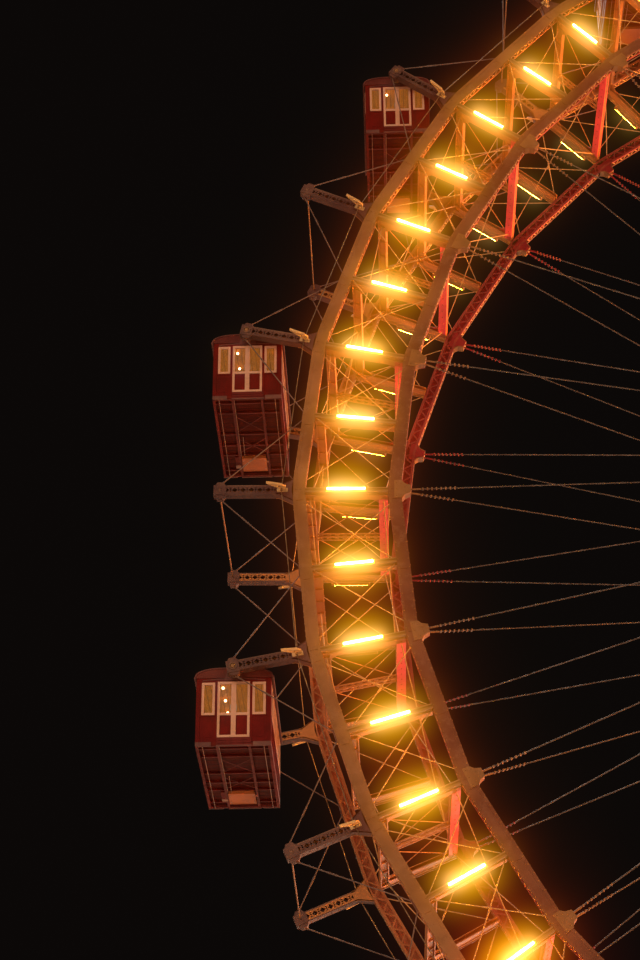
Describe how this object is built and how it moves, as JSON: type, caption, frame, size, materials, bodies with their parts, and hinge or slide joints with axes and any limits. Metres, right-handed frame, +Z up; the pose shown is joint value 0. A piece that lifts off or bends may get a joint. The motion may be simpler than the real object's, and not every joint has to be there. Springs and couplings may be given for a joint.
{
  "type": "ferris wheel, 1:2 scale model",
  "caption": "Half-size riveted iron ferris wheel: two open rings on cable spokes, level red cabins hung outside the rim, lattice towers under the axle.",
  "frame": {"origin": "on the ground, midway between the eight feet and straight below the hub", "axes": "+X to the right as the near side is seen, +Y away from the viewer along the axle, +Z up"},
  "size_m": [31.4289, 12, 32.4294],
  "materials": {
    "rim_iron": "satin, dusty, riveted",
    "cross_iron": "satin, riveted",
    "cable_steel": "stranded wire, dull",
    "axle_steel": "turned, oiled",
    "drive_rope": "stranded wire, greased",
    "tower_iron": "satin, riveted",
    "cabin_red": "satin",
    "cabin_roof": "satin, weathered",
    "joinery_white": "old white paint, satin",
    "window_glass": "clear, a little dusty",
    "lamp_glass": "lit tube or bulb",
    "locker_ochre": "satin, dusty"
  },
  "bodies": {
    "towers": {"near_left_inner_leg": "tower_iron", "near_left_outer_leg": "tower_iron", "near_right_inner_leg": "tower_iron", "near_right_outer_leg": "tower_iron", "far_left_inner_leg": "tower_iron", "far_left_outer_leg": "tower_iron", "far_right_inner_leg": "tower_iron", "far_right_outer_leg": "tower_iron", "near_tower_head": "tower_iron", "far_tower_head": "tower_iron"},
    "wheel": {"near_ring": "rim_iron", "far_ring": "rim_iron", "cross_frames": "cross_iron", "near_spokes": "cable_steel", "far_spokes": "cable_steel", "axle": "axle_steel", "near_drive_rope": "drive_rope", "far_drive_rope": "drive_rope"},
    "cabin_01": {"cabin_01_body": "cabin_red", "cabin_01_roof": "cabin_roof"},
    "cabin_02": {"cabin_02_body": "cabin_red", "cabin_02_roof": "cabin_roof"},
    "cabin_03": {"cabin_03_body": "cabin_red", "cabin_03_roof": "cabin_roof"},
    "cabin_04": {"cabin_04_body": "cabin_red", "cabin_04_roof": "cabin_roof"},
    "cabin_05": {"cabin_05_body": "cabin_red", "cabin_05_roof": "cabin_roof"},
    "cabin_06": {"cabin_06_body": "cabin_red", "cabin_06_roof": "cabin_roof"},
    "cabin_07": {"cabin_07_body": "cabin_red", "cabin_07_roof": "cabin_roof"},
    "cabin_08": {"cabin_08_body": "cabin_red", "cabin_08_roof": "cabin_roof"},
    "cabin_09": {"cabin_09_body": "cabin_red", "cabin_09_roof": "cabin_roof"},
    "cabin_10": {"cabin_10_body": "cabin_red", "cabin_10_roof": "cabin_roof"},
    "cabin_11": {"cabin_11_body": "cabin_red", "cabin_11_roof": "cabin_roof"},
    "cabin_12": {"cabin_12_body": "cabin_red", "cabin_12_roof": "cabin_roof"},
    "cabin_13": {"cabin_13_body": "cabin_red", "cabin_13_roof": "cabin_roof"},
    "cabin_14": {"cabin_14_body": "cabin_red", "cabin_14_roof": "cabin_roof"},
    "cabin_15": {"cabin_15_body": "cabin_red", "cabin_15_roof": "cabin_roof"}
  },
  "joints": [
    {"name": "wheel_spin", "type": "hinge", "parent": "towers", "child": "wheel", "pos_m": [0, 0, 17.135], "axis": [0, 1, 0], "continuous": true},
    {"name": "cabin_01_pivot", "type": "hinge", "parent": "wheel", "child": "cabin_01", "pos_m": [-14.97254, 0, 14.29237], "axis": [0, 1, 0], "continuous": true},
    {"name": "cabin_02_pivot", "type": "hinge", "parent": "wheel", "child": "cabin_02", "pos_m": [-12.5219, 0, 8.44825], "axis": [0, 1, 0], "continuous": true},
    {"name": "cabin_03_pivot", "type": "hinge", "parent": "wheel", "child": "cabin_03", "pos_m": [-7.9061, 0, 4.10614], "axis": [0, 1, 0], "continuous": true},
    {"name": "cabin_04_pivot", "type": "hinge", "parent": "wheel", "child": "cabin_04", "pos_m": [-1.92327, 0, 2.01684], "axis": [0, 1, 0], "continuous": true},
    {"name": "cabin_05_pivot", "type": "hinge", "parent": "wheel", "child": "cabin_05", "pos_m": [4.39211, 0, 2.54161], "axis": [0, 1, 0], "continuous": true},
    {"name": "cabin_06_pivot", "type": "hinge", "parent": "wheel", "child": "cabin_06", "pos_m": [9.94806, 0, 5.58971], "axis": [0, 1, 0], "continuous": true},
    {"name": "cabin_07_pivot", "type": "hinge", "parent": "wheel", "child": "cabin_07", "pos_m": [13.7839, 0, 10.63409], "axis": [0, 1, 0], "continuous": true},
    {"name": "cabin_08_pivot", "type": "hinge", "parent": "wheel", "child": "cabin_08", "pos_m": [15.23637, 0, 16.80254], "axis": [0, 1, 0], "continuous": true},
    {"name": "cabin_09_pivot", "type": "hinge", "parent": "wheel", "child": "cabin_09", "pos_m": [14.05434, 0, 23.02848], "axis": [0, 1, 0], "continuous": true},
    {"name": "cabin_10_pivot", "type": "hinge", "parent": "wheel", "child": "cabin_10", "pos_m": [10.44219, 0, 28.23537], "axis": [0, 1, 0], "continuous": true},
    {"name": "cabin_11_pivot", "type": "hinge", "parent": "wheel", "child": "cabin_11", "pos_m": [5.02449, 0, 31.52292], "axis": [0, 1, 0], "continuous": true},
    {"name": "cabin_12_pivot", "type": "hinge", "parent": "wheel", "child": "cabin_12", "pos_m": [-1.262, 0, 32.32266], "axis": [0, 1, 0], "continuous": true},
    {"name": "cabin_13_pivot", "type": "hinge", "parent": "wheel", "child": "cabin_13", "pos_m": [-7.33027, 0, 30.49632], "axis": [0, 1, 0], "continuous": true},
    {"name": "cabin_14_pivot", "type": "hinge", "parent": "wheel", "child": "cabin_14", "pos_m": [-12.13107, 0, 26.35968], "axis": [0, 1, 0], "continuous": true},
    {"name": "cabin_15_pivot", "type": "hinge", "parent": "wheel", "child": "cabin_15", "pos_m": [-14.8343, 0, 20.62801], "axis": [0, 1, 0], "continuous": true}
  ],
  "couplings": [
    {"joint": "cabin_01_pivot", "follows": "wheel_spin", "ratio": -1},
    {"joint": "cabin_02_pivot", "follows": "wheel_spin", "ratio": -1},
    {"joint": "cabin_03_pivot", "follows": "wheel_spin", "ratio": -1},
    {"joint": "cabin_04_pivot", "follows": "wheel_spin", "ratio": -1},
    {"joint": "cabin_05_pivot", "follows": "wheel_spin", "ratio": -1},
    {"joint": "cabin_06_pivot", "follows": "wheel_spin", "ratio": -1},
    {"joint": "cabin_07_pivot", "follows": "wheel_spin", "ratio": -1},
    {"joint": "cabin_08_pivot", "follows": "wheel_spin", "ratio": -1},
    {"joint": "cabin_09_pivot", "follows": "wheel_spin", "ratio": -1},
    {"joint": "cabin_10_pivot", "follows": "wheel_spin", "ratio": -1},
    {"joint": "cabin_11_pivot", "follows": "wheel_spin", "ratio": -1},
    {"joint": "cabin_12_pivot", "follows": "wheel_spin", "ratio": -1},
    {"joint": "cabin_13_pivot", "follows": "wheel_spin", "ratio": -1},
    {"joint": "cabin_14_pivot", "follows": "wheel_spin", "ratio": -1},
    {"joint": "cabin_15_pivot", "follows": "wheel_spin", "ratio": -1}
  ]
}
